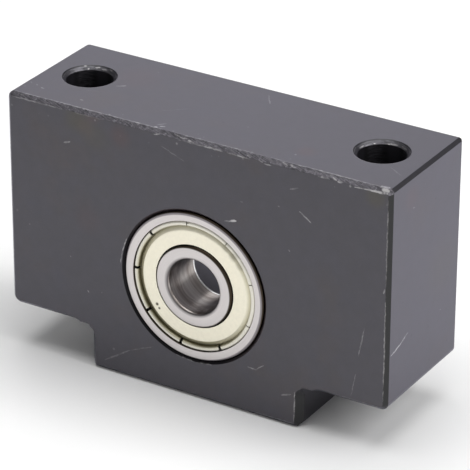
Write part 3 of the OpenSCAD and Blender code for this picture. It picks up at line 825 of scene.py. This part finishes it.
def round_corners(piece, look, corners):
    """Cuts the piece's outer corners round."""
    solid = bmesh.new()
    for corner in corners:
        part = bpy.data.meshes.new("corner")
        points, faces = corner_cutter(look, *corner)
        part.from_pydata(points.tolist(), [], faces)
        solid.from_mesh(part)
        bpy.data.meshes.remove(part)
    bmesh.ops.recalc_face_normals(solid, faces=solid.faces)
    mesh = bpy.data.meshes.new("corners")
    solid.to_mesh(mesh)
    solid.free()
    cutter = new_object("corners", mesh)
    cut = piece.modifiers.new("round corners", "BOOLEAN")
    cut.operation = "DIFFERENCE"
    cut.solver = "EXACT"
    cut.object = cutter
    apply_modifiers(piece)
    bpy.data.objects.remove(cutter)


class SUPPORT_OT_block(bpy.types.Operator):
    """Dress the block: its solid with deburred edges, in blackened steel"""

    bl_idname = "support.block"
    bl_label = "Block"

    def execute(self, context):
        look = context.scene.support_block
        solid = bmesh.new()
        solid.from_mesh(frame["nodes"]["housing"].data)
        bmesh.ops.remove_doubles(solid, verts=solid.verts, dist=0.001 * MM)
        bmesh.ops.dissolve_limit(
            solid, angle_limit=math.radians(0.2), verts=solid.verts, edges=solid.edges, delimit={"NORMAL"}
        )
        mesh = bpy.data.meshes.new("block")
        solid.to_mesh(mesh)
        solid.free()
        mesh.materials.clear()
        mesh.materials.append(blackened_steel(look))
        mesh.shade_smooth()
        piece = new_object("block", mesh)
        round_corners(piece, look, [(-1, 1), (-1, -1), (1, -1)])
        finish_edges(piece, look.edge_round)
        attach(piece, "block")
        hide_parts("housing")
        return {"FINISHED"}


class SUPPORT_OT_rings(bpy.types.Operator):
    """Make the bearing's two ground rings with their raceways"""

    bl_idname = "support.rings"
    bl_label = "Bearing rings"

    def execute(self, context):
        look = context.scene.support_bearing
        seat, rim = look.seat_r / MM, RING_R / MM
        # Outer ring: painted shade in the gap at the shields' seat, on the rounded outer edge, and in the gap
        # outside it
        outer_steel = ground_steel(
            "ground ring steel",
            [(seat - 0.1, look.gap_shade), (seat, look.steel), (rim - 0.42, look.steel), (rim - 0.28, look.edge),
             (rim - 0.14, look.edge), (rim, look.gap_shade)],
            0.3, 0.22,
        )
        bore, land = BORE_R / MM, LAND_R / MM
        # Inner ring: painted shade at the bore's mouth and in the gap at the land, painted reflection streaks
        # in the bore
        inner_steel = ground_steel(
            "ground bore steel",
            [(bore - 0.22, look.bore), (bore + 0.02, look.bore_mouth_shade), (bore + 0.55, look.steel),
             (land - 0.25, look.steel), (land - 0.1, look.gap_shade)],
            0.32, 0.25, look.bore_reflection_streak,
        )
        outer_half = [
            (look.ring_land_r, look.seat_depth, 0),
            (look.seat_r + look.groove_step, look.seat_depth, 0),
            (look.seat_r + look.groove_step, look.seat_depth - look.groove_w, 0),
            (look.seat_r, look.seat_depth - look.groove_w - look.groove_step, 0),
            (look.seat_r, 0, look.seat_corner),
            (RING_R, 0, look.corner),
        ]
        rear_half = [(r, RING_W - d, rounding) for r, d, rounding in reversed(outer_half)]
        race = race_arc(look.ring_land_r, PITCH_R + BALL_R + look.race_gap)
        points, quads = turned_ring(np.array(outer_half + rear_half + race))
        piece = make_piece("outer_ring_ground", points, quads, "block", outer_steel)
        finish_turned(piece)
        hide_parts("outer_ring")

        race = race_arc(LAND_R, PITCH_R - BALL_R - look.race_gap)
        front_half = [(BORE_R, 0, look.bore_corner), (LAND_R, 0, look.land_corner)]
        rear_half = [(LAND_R, RING_W, look.land_corner), (BORE_R, RING_W, look.rear_corner)]
        points, quads = turned_ring(np.array(front_half + race[::-1] + rear_half))
        piece = make_piece("inner_ring_ground", points, quads, "inner_ring", inner_steel)
        finish_turned(piece)
        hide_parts("inner_ring")
        return {"FINISHED"}


def shield_line(look, seat):
    """Middle line of a shield's sheet as radius and depth: the disc, the channel, the rim and the hook."""
    half = look.sheet / 2
    disc = look.recess + half
    rim = look.rim_recess + half
    outside = seat.seat_r - look.fit - half
    inside = outside - look.rim_w
    floor = seat.seat_depth - look.fit - half
    return np.array(
        [
            (LAND_R + look.gap, disc),
            (inside - look.channel_w - look.wall_run - look.disc_run, disc),
            (inside - look.channel_w - look.wall_run, disc + look.channel_depth),
            (inside - look.wall_run, disc + look.channel_depth),
            (inside, rim),
            (outside, rim),
            (outside, floor - look.hook),
            (outside + look.hook, floor),
        ]
    )


def bent(corners, radii, steps=6):
    """Open line through the corners, the inner ones rounded: the closed outline's arcs between its ends."""
    ends = corners[[0, -1]]
    around = np.concatenate([corners, [ends.mean(0) + (0, 5 * MM)]])
    arcs = rounded(around, [0, *radii, 0, 0], steps)
    first = np.argmin(np.linalg.norm(arcs - ends[0], axis=1))
    last = np.argmin(np.linalg.norm(arcs - ends[1], axis=1))
    return arcs[first : last + 1]


class SUPPORT_OT_shields(bpy.types.Operator):
    """Make the two pressed shields with their slit rims"""

    bl_idname = "support.shields"
    bl_label = "Shields"

    def execute(self, context):
        look = context.scene.support_shield
        seat = context.scene.support_bearing
        sheet_steel = zinc_sheet(look, seat)
        line = bent(shield_line(look, seat), [radius * MM for radius in SHIELD_BENDS])
        # Turns: three across each slit, then even ones to the next slit
        pitch = 2 * math.pi / look.slits
        number = np.arange(look.slits)
        width = np.where(number < look.thin_slits, look.slit_thin, look.slit_w)[:, None] / line[:, 0].max()
        across = width / 2 * np.linspace(-1, 1, 3)
        share = np.linspace(0, 1, SLIT_STEPS + 2)[1:-1]
        between = width / 2 + share * (pitch - width / 2 - np.roll(width, -1) / 2)
        part = np.concatenate([across, between], axis=1)
        turns = (look.slit_turn + number[:, None] * pitch + part).ravel()
        columns = len(line)
        quads = grid_quads(len(turns), columns, wrap_rows=True)
        # Left out: the two quads across each slit, from the channel's outer wall outwards
        wall_foot = seat.seat_r - look.fit - look.rim_w - look.wall_run - look.sheet / 2
        cut_from = np.argmax(line[:, 0] > wall_foot)
        column, row = quads[:, 0] % columns, (quads[:, 0] // columns) % part.shape[1]
        quads = quads[~((row < 2) & (column >= cut_from))]
        for node, side in (("front_shield", 1), ("rear_shield", -1)):
            points = turned(line if side > 0 else line * (1, -1) + (0, RING_W), turns)
            used, places = np.unique(quads[:, ::side], return_inverse=True)
            places = places.reshape(quads.shape)
            piece = make_piece(node + "_sheet", points[used], places, "block", sheet_steel)
            wall = piece.modifiers.new("sheet", "SOLIDIFY")
            wall.thickness = look.sheet
            wall.offset = 0
            wall.use_even_offset = True
            apply_modifiers(piece)
            finish_turned(piece)
            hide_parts(node)
        return {"FINISHED"}


class SUPPORT_OT_cage_and_balls(bpy.types.Operator):
    """Finish the cage, its rivets and the balls"""

    bl_idname = "support.cage_and_balls"
    bl_label = "Cage and balls"

    def execute(self, context):
        look = context.scene.support_bearing
        pressed = ground_steel("pressed cage steel", [(0, look.cage), (1, look.cage)], 0.4)
        polished = ground_steel("polished ball steel", [(0, look.steel), (1, look.steel)], 0.08)
        for name, node in frame["nodes"].items():
            if "cage" in name or name.startswith("ball_"):
                node.data.materials.clear()
                node.data.materials.append(pressed if "cage" in name else polished)
        return {"FINISHED"}


FLOOR_REACH = 3.0  # from the middle to each side, in metres
# Square soft boxes in metres: name, place, width, and the setting of the stage that holds the power
SOFTBOXES = [
    ("top softbox", (0.0, 0.0, 0.6), 0.5, "top_power"),
    ("back left softbox", (-0.3, 0.5, 0.35), 0.4, "back_left_power"),
    ("right softbox", (0.5, 0.1, 0.42), 0.4, "right_power"),
    ("front left softbox", (-0.4, -0.5, 0.35), 0.4, "front_left_power"),
]


def add_light(name, place, aim, width, watts):
    """A square soft box at a place, turned to face the point it aims at."""
    data = bpy.data.lights.new(name, "AREA")
    data.shape = "RECTANGLE"
    data.size = width
    data.size_y = width
    data.energy = watts
    lamp = new_object(name, data)
    lamp.location = place
    lamp.rotation_mode = "QUATERNION"
    lamp.rotation_quaternion = (Vector(aim) - Vector(place)).to_track_quat("-Z", "Y")
    lamp.visible_camera = False


class SUPPORT_OT_stage(bpy.types.Operator):
    """Set up the floor, the soft lights, the room and the camera"""

    bl_idname = "support.stage"
    bl_label = "Stage"

    def execute(self, context):
        scene = context.scene
        look = scene.support_stage
        scene.view_settings.view_transform = "Standard"

        mesh = bpy.data.meshes.new("floor")
        corners = [(x * FLOOR_REACH, y * FLOOR_REACH, 0) for x, y in ((-1, -1), (1, -1), (1, 1), (-1, 1))]
        mesh.from_pydata(corners, [], [(0, 1, 2, 3)])
        mesh.materials.append(plain_floor(look))
        floor = new_object("floor", mesh)

        middle = (0, 0, BLOCK_HIGH.z / 2)
        for name, place, width, setting in SOFTBOXES:
            add_light(name, place, middle, width, getattr(look, setting))

        # The room grows brighter from behind the camera, low down, to the sweep behind the part, high up
        world = bpy.data.worlds.new("room")
        world.use_nodes = True
        world.node_tree.nodes.clear()
        add = adder(world.node_tree)
        sweep = Vector((-math.sin(look.azimuth), math.cos(look.azimuth), 0.6)).normalized()
        facing = add("VectorMath", add("TexCoord").outputs["Generated"], sweep, operation="DOT_PRODUCT")
        bright = add(
            "MapRange", facing, -0.6, 0.8, look.room_front, look.room_back, interpolation_type="SMOOTHSTEP"
        )
        light = add("Background", linear("#ffffff"), bright)
        add("OutputWorld", light)
        scene.world = world

        data = bpy.data.cameras.new("camera")
        data.lens = look.lens
        data.sensor_width = 36
        data.clip_start, data.clip_end = 0.01, 20
        camera = new_object("camera", data)
        level = math.cos(look.elevation)
        back = Vector(
            (math.sin(look.azimuth) * level, -math.cos(look.azimuth) * level, math.sin(look.elevation))
        )
        upright = (-back).to_track_quat("-Z", "Y").to_matrix().to_4x4()
        place = Matrix.Translation(Vector(look.target) + back * look.distance)
        camera.matrix_world = place @ upright @ Matrix.Rotation(look.roll, 4, "Z")
        scene.camera = camera
        return {"FINISHED"}


class SUPPORT_PT_panel(bpy.types.Panel):
    """Lists the pieces and the stage"""

    bl_idname = "SUPPORT_PT_panel"
    bl_label = "End Support"
    bl_space_type = "VIEW_3D"
    bl_region_type = "UI"
    bl_category = "End Support"

    def draw(self, context):
        for operator in OPERATORS:
            self.layout.operator(operator.bl_idname)
        for group in GROUPS:
            settings = getattr(context.scene, group)
            box = self.layout.box()
            for key in settings.__annotations__:
                box.prop(settings, key)


GROUPS = {
    "support_stage": EndSupportStage,
    "support_block": EndSupportBlock,
    "support_bearing": EndSupportBearing,
    "support_shield": EndSupportShield,
}
OPERATORS = [
    SUPPORT_OT_stage,
    SUPPORT_OT_block,
    SUPPORT_OT_rings,
    SUPPORT_OT_shields,
    SUPPORT_OT_cage_and_balls,
]


def register():
    for group in (*GROUPS.values(), *OPERATORS, SUPPORT_PT_panel):
        bpy.utils.register_class(group)
    for name, group in GROUPS.items():
        setattr(bpy.types.Scene, name, PointerProperty(type=group))


def unregister():
    for name in GROUPS:
        delattr(bpy.types.Scene, name)
    for group in (SUPPORT_PT_panel, *reversed(OPERATORS), *GROUPS.values()):
        bpy.utils.unregister_class(group)


def main():
    """Registers the add-on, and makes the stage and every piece."""
    register()
    bpy.ops.support.stage()
    bpy.ops.support.block()
    bpy.ops.support.rings()
    bpy.ops.support.shields()
    bpy.ops.support.cage_and_balls()


if __name__ == "__main__":
    main()
